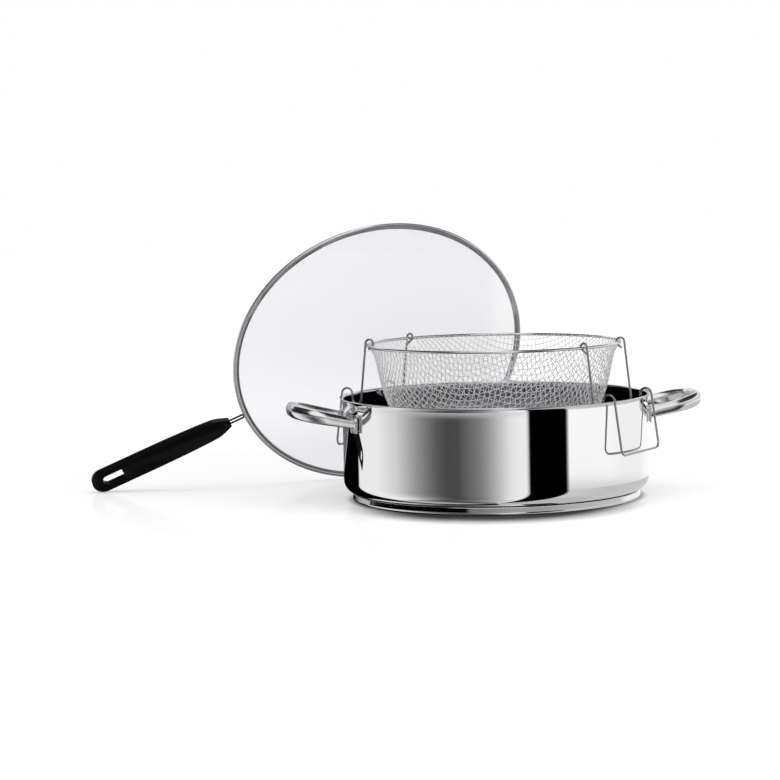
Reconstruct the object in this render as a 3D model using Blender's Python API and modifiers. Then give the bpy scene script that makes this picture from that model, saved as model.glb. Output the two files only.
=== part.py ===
# Low stainless fry pot with two loop handles, a lift-out wire basket that hangs from
# the pot's rim on two bent-wire hangers, and a splatter screen that leans on the pot.
# Blender 4.5, metres, +Z up. The origin is the middle of the pot's base, on the table.
# +X is to the right and the front is on the -Y side.
from math import acos, atan2, cos, hypot, pi, radians, sin, sqrt, tan

import bmesh
import bpy
from mathutils import Matrix, Vector

# Clearance between pieces that touch, and the overrun of every cutter
gap = 0.0003
overrun = 0.004

# Pot
rim_radius = 0.1400
pot_height = 0.0927
wall_radius = 0.1373
wall = 0.0009
lip_drop = 0.0050
lip_edge = 0.0012
corner_radius = 0.0120
flare_share = 0.35

# Base disc under the pot: a core of aluminium in a steel cap
cap_radius = 0.1295
cap_height = 0.0062
cap_wall = 0.0006
cap_fillet = 0.0016

# Loop handles of the pot
handle_azimuth = radians(12.0)
arm_half_angle = radians(15.0)
handle_reach = 0.0470
handle_bend = 0.0270
bar_half_thickness = 0.0042
bar_oval_share = 1.50
arm_share = 0.74
arm_drop = 0.0192
arm_height = pot_height - arm_drop
handle_rise = radians(12.0)
foot_height = 0.0160
foot_width = 0.0130
foot_thickness = 0.0016
foot_corner = 0.0030

# Basket
basket_rim_radius = 0.1135
basket_rise = 0.0459
basket_rim_height = pot_height + basket_rise
basket_rim_wire = 0.0026
basket_depth = 0.0845
mesh_thickness = 0.0007
strip_width = 0.0024
strip_turn = radians(-15.0)
basket_floor_radius = 0.0700
basket_shoulder_radius = 0.1080
basket_shoulder_drop = 0.0090
basket_waist_radius = 0.0995
basket_waist_drop = 0.0470
basket_corner = 0.0210

# Wire hangers
hanger_azimuth = radians(-27.0)
hanger_wire = 0.0020
hanger_half_width = 0.0380
eye_radius = 0.0033
eye_seat_drop = 0.0007
eye_end_angle = radians(230.0)
eye_pitch = 0.0026
tail_length = 0.0052
u_bend_radius = 0.0045
u_bend_depth = 0.0090
hook_radius = 0.0054
hook_flare = radians(8.0)
crossbar_drop = 0.0470
crossbar_corner = 0.0060

# Splatter screen
screen_radius = 0.1386
screen_turn = radians(18.0)
screen_lean = radians(27.5)
screen_foot_x = -0.1280
ring_width = 0.0056
ring_thickness = 0.0034
ring_lip = 0.0008
ring_groove_depth = 0.0036
cloth_thickness = 0.0003
tang_angle = radians(26.7)
tang_wire = 0.0018
tang_pitch = 0.0034
tang_show = 0.0140
tang_tuck = 0.0200
tang_bend = 0.0016
grip_length = 0.1410
grip_half_width = 0.0114
grip_neck_half_width = 0.0042
grip_thickness = 0.0060
grip_edge = 0.0015
grip_length_shares = (0.085, 0.14, 0.50)
grip_swell_shares = (0.68, 0.80, 1.0)
tip_share = 0.28
slot_length = 0.0205
slot_width = 0.0096
slot_margin = 0.0105

# Facets round a turn, openings across the basket and facets along each opening
turn_steps = 72
wire_resolution = 2
basket_openings = 12
strip_steps = 2
hoop_steps = 48

for old in list(bpy.data.objects):
    bpy.data.objects.remove(old, do_unlink=True)

parts = bpy.data.collections.new("deep_fry_pot_with_basket")
cutters = bpy.data.collections.new("cutters")
for folder in (parts, cutters):
    bpy.context.scene.collection.children.link(folder)


def make_material(name, color, roughness, metallic):
    material = bpy.data.materials.new(name)
    material.use_nodes = True
    shader = material.node_tree.nodes["Principled BSDF"]
    shader.inputs["Base Color"].default_value = (*color, 1.0)
    shader.inputs["Roughness"].default_value = roughness
    shader.inputs["Metallic"].default_value = metallic
    return material


def add_part(name, data, color, roughness, metallic, parent=None):
    """Link an object among the parts, with a material of its own."""
    thing = bpy.data.objects.new(name, data)
    parts.objects.link(thing)
    data.materials.clear()
    data.materials.append(make_material(name + "_finish", color, roughness, metallic))
    thing.parent = parent
    return thing


def add_cutter(name, data):
    thing = bpy.data.objects.new(name, data)
    cutters.objects.link(thing)
    thing.hide_render = True
    thing.display_type = "WIRE"
    return thing


def add_empty(name, matrix):
    empty = bpy.data.objects.new(name, None)
    parts.objects.link(empty)
    empty.matrix_world = matrix
    return empty


def take_new_object():
    """Unlink the primitive just added and give back its mesh."""
    made = bpy.context.object
    mesh = made.data
    bpy.data.objects.remove(made, do_unlink=True)
    return mesh


def profile_mesh(name, outline, closed):
    """A chain of edges in the XZ plane, ready for a Screw modifier."""
    mesh = bpy.data.meshes.new(name)
    count = len(outline)
    edges = [(i, (i + 1) % count) for i in range(count if closed else count - 1)]
    mesh.from_pydata([(x, 0.0, z) for x, z in outline], edges, [])
    return mesh


def turn(thing, steps=turn_steps):
    """Spin a profile round the object's Z axis."""
    screw = thing.modifiers.new("turned", "SCREW")
    screw.axis = "Z"
    screw.angle = 2 * pi
    screw.steps = steps
    screw.render_steps = steps
    screw.use_merge_vertices = True
    screw.merge_threshold = wall / 20
    screw.use_smooth_shade = True
    return screw


def arc(center, radius, start, end, steps):
    """Points on an arc, both ends included."""
    angles = [start + (end - start) * i / steps for i in range(steps + 1)]
    return [(center[0] + radius * cos(a), center[1] + radius * sin(a)) for a in angles]


def wire_curve(name, points, radius, resolution=wire_resolution, closed=False, radii=None):
    """A round wire or bar along a chain of points."""
    curve = bpy.data.curves.new(name, "CURVE")
    curve.dimensions = "3D"
    curve.bevel_depth = radius
    curve.bevel_resolution = resolution
    curve.use_fill_caps = not closed
    spline = curve.splines.new("POLY")
    spline.points.add(len(points) - 1)
    for i, (point, place) in enumerate(zip(spline.points, points)):
        point.co = (*place, 1.0)
        point.radius = radii[i] if radii else 1.0
    spline.use_cyclic_u = closed
    return curve


def curve_to_mesh(curve, name, matrix=Matrix.Identity(4)):
    """The curve's tube as a closed mesh, so that it can be cut or joined."""
    guide = bpy.data.objects.new(name + "_guide", curve)
    bpy.context.scene.collection.objects.link(guide)
    guide.matrix_world = matrix
    bpy.context.view_layer.update()
    mesh = bpy.data.meshes.new_from_object(guide.evaluated_get(bpy.context.evaluated_depsgraph_get()))
    mesh.transform(matrix)
    mesh.name = name
    shell = bmesh.new()
    shell.from_mesh(mesh)
    bmesh.ops.remove_doubles(shell, verts=shell.verts, dist=curve.bevel_depth / 100)
    bmesh.ops.recalc_face_normals(shell, faces=shell.faces)
    shell.to_mesh(mesh)
    shell.free()
    bpy.data.objects.remove(guide, do_unlink=True)
    return mesh


def cut(thing, cutter, operation="DIFFERENCE"):
    boolean = thing.modifiers.new("cut_" + cutter.name, "BOOLEAN")
    boolean.operation = operation
    boolean.solver = "EXACT"
    boolean.object = cutter
    return boolean


def smooth(mesh, angle=radians(35)):
    mesh.shade_smooth()
    mesh.set_sharp_from_angle(angle=angle)


steel = (0.78, 0.78, 0.79)
wire_steel = (0.72, 0.72, 0.74)
aluminium = (0.80, 0.80, 0.81)
cloth_grey = (0.86, 0.86, 0.90)
black_plastic = (0.012, 0.012, 0.013)
black_wire = (0.02, 0.02, 0.02)


# Pot body: one deep-drawn sheet from the middle of the inner floor, up the wall, over the
# flared lip, down the outside and back along the underside
def make_pot_body():
    underside = cap_height + gap
    inner_radius = wall_radius - wall
    flat_radius = wall_radius - corner_radius
    knee = (flat_radius, underside + corner_radius)
    lip_lean = rim_radius - wall_radius
    outline = [(0.0, underside + wall)]
    outline += arc(knee, corner_radius - wall, -pi / 2, 0.0, 5)
    outline += [
        (inner_radius, pot_height - lip_drop),
        (inner_radius + lip_lean * flare_share, pot_height - lip_drop / 2),
    ]
    bead = (rim_radius - lip_edge / 2, pot_height - lip_edge / 2)
    outline += arc(bead, lip_edge / 2, radians(150), radians(-60), 7)
    outline += [
        (wall_radius + lip_lean * flare_share, pot_height - lip_drop / 2 - wall),
        (wall_radius, pot_height - lip_drop - wall),
    ]
    outline += arc(knee, corner_radius, 0.0, -pi / 2, 6)
    outline += [(0.0, underside)]
    body = add_part("pot_body", profile_mesh("pot_body", outline, False), steel, 0.08, 1.0)
    turn(body)
    return body


# Base cap: a shallow steel dish that holds the core against the pot's underside
def make_base_cap():
    outline = [
        (0.0, cap_wall),
        (cap_radius - cap_wall, cap_wall),
        (cap_radius - cap_wall, cap_height),
        (cap_radius, cap_height),
    ]
    outline += arc((cap_radius - cap_fillet, cap_fillet), cap_fillet, 0.0, -pi / 2, 3)
    outline += [(0.0, 0.0)]
    cap = add_part("base_cap", profile_mesh("base_cap", outline, False), steel, 0.12, 1.0)
    turn(cap)


def make_base_core():
    core_radius = cap_radius - cap_wall - gap
    floor = cap_wall + gap
    outline = [(0.0, cap_height), (core_radius, cap_height), (core_radius, floor), (0.0, floor)]
    core = add_part("base_core", profile_mesh("base_core", outline, False), aluminium, 0.35, 1.0)
    turn(core)


# Each handle is an oval bar bent to a loop, on two curved feet that are welded to the wall
foot_radius = wall_radius + gap + foot_thickness


def make_handle(side, azimuth):
    half_span = wall_radius * sin(arm_half_angle)
    start = wall_radius * cos(arm_half_angle) - overrun
    tip = wall_radius + handle_reach
    bend = (tip - handle_bend, half_span - handle_bend)
    half = [(start, half_span), ((start + bend[0]) / 2, half_span)]
    half += arc(bend, handle_bend, pi / 2, 0.0, 7)
    flat = half + [(u, -v) for u, v in reversed(half)]
    foot_u = wall_radius * cos(arm_half_angle)
    points = [(u, v, (arm_height + (u - foot_u) * tan(handle_rise)) / bar_oval_share) for u, v in flat]
    full = tip - foot_u - handle_bend / 2
    grow = [min(1.0, arm_share + (1 - arm_share) * max(0.0, u - foot_u) / full) for u, v in flat]
    curve = wire_curve("handle_" + side, points, bar_half_thickness, 4, radii=grow)
    place = Matrix.Rotation(azimuth, 4, "Z") @ Matrix.Diagonal((1.0, 1.0, bar_oval_share, 1.0))
    mesh = curve_to_mesh(curve, "handle_" + side, place)
    smooth(mesh)
    handle = add_part("handle_" + side, mesh, steel, 0.10, 1.0)
    cut(handle, handle_bore)


def make_foot(name, azimuth):
    bpy.ops.mesh.primitive_cube_add(size=1.0)
    mesh = take_new_object()
    mesh.name = name
    depth = foot_thickness * 4
    mesh.transform(Matrix.Diagonal((depth, foot_width, foot_height, 1.0)))
    block = bmesh.new()
    block.from_mesh(mesh)
    along = [e for e in block.edges if abs((e.verts[0].co - e.verts[1].co).x) > depth / 2]
    bmesh.ops.bevel(block, geom=along, offset=foot_corner, segments=3, affect="EDGES", profile=0.5)
    block.to_mesh(mesh)
    block.free()
    turned = Matrix.Rotation(azimuth, 4, "Z")
    mesh.transform(turned @ Matrix.Translation((foot_radius - depth / 4, 0.0, arm_height)))
    foot = add_part(name, mesh, steel, 0.12, 1.0)
    cut(foot, wall_sleeve, "INTERSECT")


def ring_outline(inner, outer, low, high):
    return [(inner, low), (inner, high), (outer, high), (outer, low)]


def make_pot_cutters():
    low, high = cap_height, pot_height + overrun
    solid = [(0.0, high), (foot_radius + gap, high), (foot_radius + gap, low), (0.0, low)]
    bore = add_cutter("handle_bore", profile_mesh("handle_bore", solid, False))
    turn(bore, 2 * turn_steps)
    outline = ring_outline(wall_radius + gap, foot_radius, low, high)
    sleeve = add_cutter("wall_sleeve", profile_mesh("wall_sleeve", outline, True))
    turn(sleeve, 2 * turn_steps)
    return bore, sleeve


# Basket: a rim wire and a cup pressed from square wire mesh. Here the mesh is a plain grid of
# flat strips, one for every four wires of the real weave
rim_center_perp = sqrt(basket_rim_radius ** 2 - hanger_half_width ** 2)
eye_axis_height = basket_rim_height + eye_seat_drop


def make_basket_rim():
    bpy.ops.mesh.primitive_torus_add(
        major_radius=basket_rim_radius, minor_radius=basket_rim_wire / 2,
        major_segments=turn_steps, minor_segments=8)
    mesh = take_new_object()
    mesh.name = "basket_rim_wire"
    smooth(mesh, pi)
    rim = add_part("basket_rim_wire", mesh, wire_steel, 0.15, 1.0, basket_seat)
    rim.location.z = basket_rim_height


def basket_outline():
    """Outer side of the cup, from the rim to the middle of the floor."""
    floor = basket_rim_height - basket_depth
    top = basket_rim_height - basket_rim_wire / 2 - gap
    waist = (basket_waist_radius, basket_rim_height - basket_waist_drop)
    shoulder = (basket_shoulder_radius, basket_rim_height - basket_shoulder_drop)
    bend = (basket_floor_radius, floor + basket_corner)
    return [
        (basket_rim_radius - basket_rim_wire / 4, top),
        shoulder,
        waist,
    ] + arc(bend, basket_corner, radians(-15), -pi / 2, 5) + [(0.0, floor)]


def place_on_cup(outline, point):
    """Press a point of the flat blank onto the cup: its distance from the middle stays."""
    left = point.length
    around = Vector((point.x, point.y, 0.0)).normalized()
    for (x0, z0), (x1, z1) in zip(outline, outline[1:]):
        run = hypot(x1 - x0, z1 - z0)
        if left <= run:
            break
        left -= run
    share = min(left / run, 1.0)
    height = Vector((0.0, 0.0, z0 + (z1 - z0) * share))
    return around * (x0 + (x1 - x0) * share) + height


def cut_across(blank, faces, axis, place):
    """Divide faces of the flat blank along a line."""
    shape = {part for face in faces for part in (*face.verts, *face.edges)} | set(faces)
    bmesh.ops.bisect_plane(blank, geom=list(shape), dist=gap / 100, plane_co=axis * place, plane_no=axis)


def make_basket_mesh():
    outline = basket_outline()[::-1]
    runs = [hypot(x1 - x0, z1 - z0) for (x0, z0), (x1, z1) in zip(outline, outline[1:])]
    bends = [sum(runs[:i]) for i in range(1, len(runs))]
    reach = sum(runs)
    cell = 2 * reach / basket_openings
    half = strip_width / 2
    hoop_radius = reach - strip_width
    smallest = (2 * strip_width) ** 2
    axes = (Vector((1.0, 0.0, 0.0)), Vector((0.0, 1.0, 0.0)))
    lines = [i * cell for i in range(1 - basket_openings // 2, basket_openings // 2)]

    blank = bmesh.new()
    bmesh.ops.create_circle(blank, cap_ends=True, radius=hoop_radius, segments=hoop_steps)
    hoop = bmesh.ops.extrude_edge_only(blank, edges=blank.edges[:])
    for vert in [v for v in hoop["geom"] if isinstance(v, bmesh.types.BMVert)]:
        vert.co *= reach / hoop_radius
    for axis in axes:
        for line in lines:
            cut_across(blank, blank.faces[:], axis, line - half)
            cut_across(blank, blank.faces[:], axis, line + half)
    openings = []
    for face in blank.faces:
        middle = face.calc_center_median()
        between = all(abs(middle.dot(axis) - line) > half for axis in axes for line in lines)
        if between and middle.length < hoop_radius and face.calc_area() > smallest:
            openings.append(face)
    bmesh.ops.delete(blank, geom=openings, context="FACES")

    for axis in axes:
        for i in range(-basket_openings // 2, basket_openings // 2):
            for step in range(1, strip_steps):
                wall_faces = [f for f in blank.faces if f.calc_center_median().length > bends[0]]
                cut_across(blank, wall_faces, axis, (i + step / strip_steps) * cell)
    for axis, along in (axes, axes[::-1]):
        for line in lines:
            for bend in [b for b in bends if b > abs(line) + half]:
                for place in (-sqrt(bend ** 2 - line ** 2), sqrt(bend ** 2 - line ** 2)):
                    strip = [f for f in blank.faces if abs(f.calc_center_median().dot(axis) - line) < half]
                    cut_across(blank, strip, along, place)

    bmesh.ops.remove_doubles(blank, verts=blank.verts, dist=gap)
    blank.normal_update()
    bmesh.ops.reverse_faces(blank, faces=[f for f in blank.faces if f.normal.z > 0])
    for vert in blank.verts:
        vert.co = place_on_cup(outline, vert.co)
    mesh = bpy.data.meshes.new("basket_mesh")
    blank.to_mesh(mesh)
    blank.free()
    mesh.transform(Matrix.Rotation(strip_turn, 4, "Z"))
    cup = add_part("basket_mesh", mesh, wire_steel, 0.3, 1.0, basket_seat)
    shell = cup.modifiers.new("sheet", "SOLIDIFY")
    shell.thickness = mesh_thickness
    shell.offset = -1.0
    for i, (azimuth, side) in enumerate((a, s) for a in hanger_azimuths for s in (-1, 1)):
        cut(cup, make_eye_window("eye_window_%d" % i, azimuth, side))


def make_eye_window(name, azimuth, side):
    """The mesh is open under the rim where a hanger's eye passes through."""
    bpy.ops.mesh.primitive_cube_add(size=1.0)
    mesh = take_new_object()
    half_wire = hanger_wire / 2
    drop = eye_radius + half_wire + tail_length / 2
    depth = 2 * (eye_radius + overrun)
    width = eye_pitch + hanger_wire + 4 * gap
    mesh.transform(Matrix.Diagonal((depth, width, 2 * drop, 1.0)))
    mesh.transform(Matrix.Translation((rim_center_perp, side * hanger_half_width, eye_axis_height)))
    mesh.transform(Matrix.Rotation(azimuth, 4, "Z"))
    return add_cutter(name, mesh)


# Hangers: each is one wire with an eye round the basket's rim at both ends. A leg runs down
# inside the pot, turns up, hooks over the pot's lip and runs down outside to a crossbar
hanger_azimuths = (hanger_azimuth, hanger_azimuth + pi)


def hanger_half():
    """One half of a hanger in its own frame: X outwards from the hinge, Y along it, Z up."""
    half_wire = hanger_wire / 2
    reach = rim_radius + gap + half_wire
    hook_x = sqrt(reach ** 2 - hanger_half_width ** 2) - rim_center_perp - hook_radius / cos(hook_flare)
    lip_z = pot_height - eye_axis_height
    bend = (hook_x - hook_radius - u_bend_radius, lip_z - u_bend_depth + u_bend_radius)
    lean = atan2(bend[1], bend[0]) + acos((eye_radius + u_bend_radius) / hypot(*bend))
    flat = arc((0.0, 0.0), eye_radius, eye_end_angle, lean, 10)
    end = flat[0]
    tail = (end[0] - sin(eye_end_angle) * tail_length, end[1] + cos(eye_end_angle) * tail_length)
    turns = [0.0] + [i / 10 for i in range(11)]
    flat = [tail] + flat
    shift = [eye_pitch * (0.5 - share) for share in turns]
    path = [(x, hanger_half_width - s, z) for (x, z), s in zip(flat, shift)]
    leg_y = path[-1][1]
    hook = arc(bend, u_bend_radius, pi + lean, 2 * pi, 7)
    hook += arc((hook_x, lip_z), hook_radius, pi, hook_flare, 9)
    path += [(x, leg_y, z) for x, z in hook]
    run = Vector((sin(hook_flare), 0.0, -cos(hook_flare)))
    top = Vector(path[-1])
    fall = (top.z - (lip_z - crossbar_drop)) / cos(hook_flare)
    corner = top + run * fall
    side = Vector((0.0, -1.0, 0.0))
    for i in range(6):
        a = pi / 2 * i / 5
        path.append(tuple(corner + crossbar_corner * (-run * (1 - sin(a)) + side * (1 - cos(a)))))
    return path


def make_hanger(name, azimuth):
    half = hanger_half()
    points = half + [(x, -y, z) for x, y, z in reversed(half)]
    hanger = add_part(name, wire_curve(name, points, hanger_wire / 2), wire_steel, 0.12, 1.0)
    hanger.location = (rim_center_perp * cos(azimuth), rim_center_perp * sin(azimuth), eye_axis_height)
    hanger.rotation_euler.z = azimuth


# Splatter screen: its empty has Z along the screen's normal, towards the front, X along the
# table line and Y up the slope. The cloth leans on the lip and the ring stands on the table
def screen_matrix():
    normal = Vector((sin(screen_turn) * cos(screen_lean), -cos(screen_turn) * cos(screen_lean),
                     -sin(screen_lean)))
    along = Vector((cos(screen_turn), sin(screen_turn), 0.0))
    up = normal.cross(along)
    seat = cloth_thickness / 2 + gap
    foot_y = (sin(screen_turn) * screen_foot_x + rim_radius + tan(screen_lean) * pot_height
              + seat / cos(screen_lean)) / cos(screen_turn)
    foot = Vector((screen_foot_x, foot_y, 0.0))
    center = foot + up * (screen_radius + ring_thickness / 2 * tan(screen_lean))
    frame = Matrix((along, up, normal)).transposed().to_4x4()
    frame.translation = center
    return frame


def make_screen_ring():
    inner = screen_radius - ring_width
    half = ring_thickness / 2
    slot = cloth_thickness / 2 + gap
    round_off = ring_lip
    outline = [
        (inner, slot),
        (inner, half - round_off / 2),
        (inner + round_off, half),
        (screen_radius - round_off, half),
        (screen_radius, half - round_off),
        (screen_radius, -half + round_off),
        (screen_radius - round_off, -half),
        (inner + round_off, -half),
        (inner, -half + round_off / 2),
        (inner, -slot),
        (inner + ring_groove_depth, -slot),
        (inner + ring_groove_depth, slot),
    ]
    ring = add_part("screen_ring", profile_mesh("screen_ring", outline, True), steel, 0.15, 1.0,
                    screen_frame)
    turn(ring)


def make_screen_cloth():
    radius = screen_radius - ring_width + ring_groove_depth - gap
    bpy.ops.mesh.primitive_cylinder_add(vertices=turn_steps, radius=radius, depth=cloth_thickness)
    mesh = take_new_object()
    mesh.name = "screen_cloth"
    add_part("screen_cloth", mesh, cloth_grey, 0.5, 0.6, screen_frame)


def grip_frame():
    """Frame of the screen's handle: X outwards along it from the ring's edge, Z the normal."""
    outwards = Matrix.Rotation(pi + tang_angle, 4, "Z")
    return outwards @ Matrix.Translation((screen_radius, 0.0, 0.0))


def tang_points():
    """One wire bent to a U: its middle lies along the ring, its ends run into the grip."""
    seat = gap + tang_wire / 2
    half = tang_pitch / 2
    end = tang_show + tang_tuck
    bend = arc((seat + tang_bend, half - tang_bend), tang_bend, pi, pi / 2, 4)
    side = [(x, y, 0.0) for x, y in bend] + [(end, half, 0.0)]
    return [(x, -y, z) for x, y, z in reversed(side)] + side


def make_screen_tang():
    curve = wire_curve("screen_tang", tang_points(), tang_wire / 2)
    tang = add_part("screen_tang", curve, black_wire, 0.35, 0.6, screen_frame)
    tang.matrix_local = grip_frame()


def spline_through(curve, points, kinds):
    """A closed Bezier outline: 'A' points are smooth, 'V' points are corners."""
    spline = curve.splines.new("BEZIER")
    spline.bezier_points.add(len(points) - 1)
    for knot, (x, y), kind in zip(spline.bezier_points, points, kinds):
        knot.co = (x, y, 0.0)
        knot.handle_left_type = knot.handle_right_type = "AUTO" if kind == "A" else "VECTOR"
    spline.use_cyclic_u = True
    spline.resolution_u = 5


def make_screen_grip():
    start = tang_show
    wide = grip_half_width
    neck = grip_neck_half_width
    end = start + grip_length
    side = [(start, neck - grip_edge / 2)]
    side += [(start + grip_length * share, neck + (wide - neck) * swell)
             for share, swell in zip(grip_length_shares, grip_swell_shares)]
    side += [(end - wide, wide), (end - wide * tip_share, wide * (1 - tip_share))]
    outline = side + [(end, 0.0)] + [(x, -y) for x, y in reversed(side)]
    curve = bpy.data.curves.new("screen_grip", "CURVE")
    curve.dimensions = "2D"
    curve.fill_mode = "BOTH"
    curve.extrude = grip_thickness / 2 - grip_edge
    curve.bevel_depth = grip_edge
    curve.bevel_resolution = 1
    curve.offset = -grip_edge
    spline_through(curve, outline, "V" + "A" * (len(outline) - 2) + "V")
    mesh = curve_to_mesh(curve, "screen_grip")
    smooth(mesh)
    grip = add_part("screen_grip", mesh, black_plastic, 0.35, 0.0, screen_frame)
    grip.matrix_local = grip_frame()
    cut(grip, make_slot_cutter(end))
    for sign in (-1, 1):
        cut(grip, make_tang_bore("tang_bore_%d" % sign, sign))


def make_slot_cutter(end):
    """Hanging slot: round at its outer end and square at its inner end."""
    half = slot_width / 2
    outer = end - slot_margin - half
    inner = end - slot_margin - slot_length
    edge = arc((outer, 0.0), half, pi / 2, -pi / 2, 8)
    points = [(inner, half)] + edge + [(inner, -half)]
    shape = bmesh.new()
    base = [shape.verts.new((x, y, -grip_thickness)) for x, y in points]
    face = shape.faces.new(reversed(base))
    lifted = bmesh.ops.extrude_face_region(shape, geom=[face])
    top = [v for v in lifted["geom"] if isinstance(v, bmesh.types.BMVert)]
    bmesh.ops.translate(shape, verts=top, vec=(0.0, 0.0, 2 * grip_thickness))
    bmesh.ops.recalc_face_normals(shape, faces=shape.faces)
    mesh = bpy.data.meshes.new("slot")
    shape.to_mesh(mesh)
    shape.free()
    slot = add_cutter("slot", mesh)
    slot.parent = screen_frame
    slot.matrix_local = grip_frame()
    return slot


def make_tang_bore(name, sign):
    depth = 2 * (tang_tuck + gap)
    bpy.ops.mesh.primitive_cylinder_add(vertices=12, radius=tang_wire / 2 + gap, depth=depth)
    mesh = take_new_object()
    mesh.transform(Matrix.Rotation(pi / 2, 4, "Y"))
    mesh.transform(Matrix.Translation((tang_show, sign * tang_pitch / 2, 0.0)))
    bore = add_cutter(name, mesh)
    bore.parent = screen_frame
    bore.matrix_local = grip_frame()
    return bore


make_pot_body()
make_base_cap()
make_base_core()
handle_bore, wall_sleeve = make_pot_cutters()
for side, azimuth in (("left", handle_azimuth + pi), ("right", handle_azimuth)):
    make_handle(side, azimuth)
    for end, sign in (("front", 1 if side == "left" else -1), ("back", -1 if side == "left" else 1)):
        make_foot("handle_%s_foot_%s" % (side, end), azimuth + sign * arm_half_angle)

basket_seat = add_empty("basket_seat", Matrix.Identity(4))
make_basket_rim()
make_basket_mesh()
make_hanger("hanger_right", hanger_azimuths[0])
make_hanger("hanger_left", hanger_azimuths[1])

screen_frame = add_empty("screen_frame", screen_matrix())
make_screen_ring()
make_screen_cloth()
make_screen_tang()
make_screen_grip()
bpy.context.view_layer.update()
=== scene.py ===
# %% [markdown]
# # A deep fry pot with its wire basket and splatter screen
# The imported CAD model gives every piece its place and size. This lesson builds a finer
# piece over each of its solids: a turned pot, bent bars and wires, and a basket of
# real woven wire. All lengths are in metres, and the pot stands on the origin.

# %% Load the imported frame
from math import acos, asin, atan2, cos, hypot, pi, radians, sin, sqrt, tan

import bmesh
import bpy
from mathutils import Matrix, Vector


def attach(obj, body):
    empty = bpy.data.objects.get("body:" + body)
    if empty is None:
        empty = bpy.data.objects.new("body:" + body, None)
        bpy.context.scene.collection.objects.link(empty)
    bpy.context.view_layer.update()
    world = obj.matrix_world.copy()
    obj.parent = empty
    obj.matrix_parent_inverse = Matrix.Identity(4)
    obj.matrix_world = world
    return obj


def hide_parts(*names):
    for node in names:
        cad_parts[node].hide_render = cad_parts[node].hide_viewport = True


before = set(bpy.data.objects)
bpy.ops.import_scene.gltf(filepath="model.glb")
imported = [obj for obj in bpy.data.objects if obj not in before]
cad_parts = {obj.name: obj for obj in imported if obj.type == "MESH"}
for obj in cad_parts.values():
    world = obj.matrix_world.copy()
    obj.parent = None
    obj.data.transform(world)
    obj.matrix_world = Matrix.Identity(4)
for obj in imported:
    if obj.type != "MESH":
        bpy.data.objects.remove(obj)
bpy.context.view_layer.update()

# %% [markdown]
# ## The camera
# The photograph was taken from a little above the rim with a long lens. A long lens
# far away keeps the pot's rim a flat ellipse. The place, the three turns and the focal
# length were worked out from the rim, the base and the basket. The camera comes first,
# so that every later piece can be judged in its view.

# %% Set the camera
camera_place = Vector((0.0, -2.5, 0.317))
yaw, pitch, roll = radians(2.16), radians(-5.01), radians(-1.15)
sensor_width = 36.0
focal_pixels = 2787
frame_pixels = 780
far_limit = 50.0

ahead = Vector((-sin(yaw) * cos(pitch), cos(yaw) * cos(pitch), sin(pitch)))
level = Vector((cos(yaw), sin(yaw), 0.0))
upright = level.cross(ahead)
right_hand = cos(roll) * level + sin(roll) * upright
overhead = cos(roll) * upright - sin(roll) * level

bpy.ops.object.camera_add(location=camera_place)
camera = bpy.context.object
camera.matrix_world = Matrix.Translation(camera_place) @ Matrix(
    (right_hand, overhead, -ahead)).transposed().to_4x4()
camera.data.sensor_width = sensor_width
camera.data.lens = sensor_width * (focal_pixels / frame_pixels)
camera.data.clip_end = far_limit
bpy.context.scene.camera = camera
print("Lens:", round(camera.data.lens, 1), "mm")

# %% [markdown]
# ## Small helpers
# Operators act on all that is selected, so each piece starts from a clean selection. A
# finished piece takes its name, its body and the CAD nodes that it stands for in one
# call, so that none of the three is forgotten.

# %% Helpers for selection and finishing
weld = 0.00001
plain_crease = radians(40)
wire_crease = radians(60)
mesh_crease = radians(80)
grip_crease = radians(35)


def start_clean():
    """Object mode, with nothing selected."""
    if bpy.context.object and bpy.context.object.mode != "OBJECT":
        bpy.ops.object.mode_set(mode="OBJECT")
    bpy.ops.object.select_all(action="DESELECT")


def pick(piece):
    start_clean()
    piece.select_set(True)
    bpy.context.view_layer.objects.active = piece


def apply_modifiers(piece):
    pick(piece)
    for modifier in list(piece.modifiers):
        bpy.ops.object.modifier_apply(modifier=modifier.name)


def settle(piece):
    """Put the object's place, turn and size into its mesh."""
    pick(piece)
    bpy.ops.object.transform_apply(location=True, rotation=True, scale=True)


def face_outwards(piece):
    """Points closer than weld become one, and all faces point outwards."""
    pick(piece)
    bpy.ops.object.mode_set(mode="EDIT")
    bpy.ops.mesh.select_all(action="SELECT")
    bpy.ops.mesh.remove_doubles(threshold=weld)
    bpy.ops.mesh.normals_make_consistent(inside=False)
    bpy.ops.object.mode_set(mode="OBJECT")


def finish_piece(piece, name, body, nodes=(), crease=plain_crease):
    """Edges sharper than crease stay sharp, and the rest is shaded smooth."""
    settle(piece)
    bpy.ops.object.shade_smooth_by_angle(angle=crease)
    piece.name = name
    piece.data.name = name
    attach(piece, body)
    if nodes:
        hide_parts(*nodes)
    print(name, "has", len(piece.data.polygons), "faces")


def arc(center, radius, start, end, steps):
    """Points on an arc in a plane, both ends included."""
    angles = [start + (end - start) * i / steps for i in range(steps + 1)]
    return [(center[0] + radius * cos(a), center[1] + radius * sin(a)) for a in angles]


# %% [markdown]
# ## The pot: a disc raised ring by ring
# The real pot is pressed from one sheet, so its wall has the same profile all the way
# round. It could be a Screw modifier on a curve. Here a circle is extruded and scaled
# once for each point of the profile, as a potter raises a wall, because then every ring
# of the lip is under control.

# %% Sizes of the pot
rim_radius = 0.1400
pot_height = 0.0927
wall_radius = 0.1373
wall = 0.0009
gap = 0.0003
lip_drop = 0.0050
lip_edge = 0.0012
lip_run = 0.0016
lip_shares = (0.2, 0.4, 0.6, 0.75)
lip_from, lip_to = radians(130), radians(-50)
lip_steps = 10
neck = 0.00016
neck_run = 0.0128
neck_steps = 6
corner_radius = 0.0120
corner_steps_inside = 14
corner_steps_outside = 16
turn_steps = 256


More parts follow.
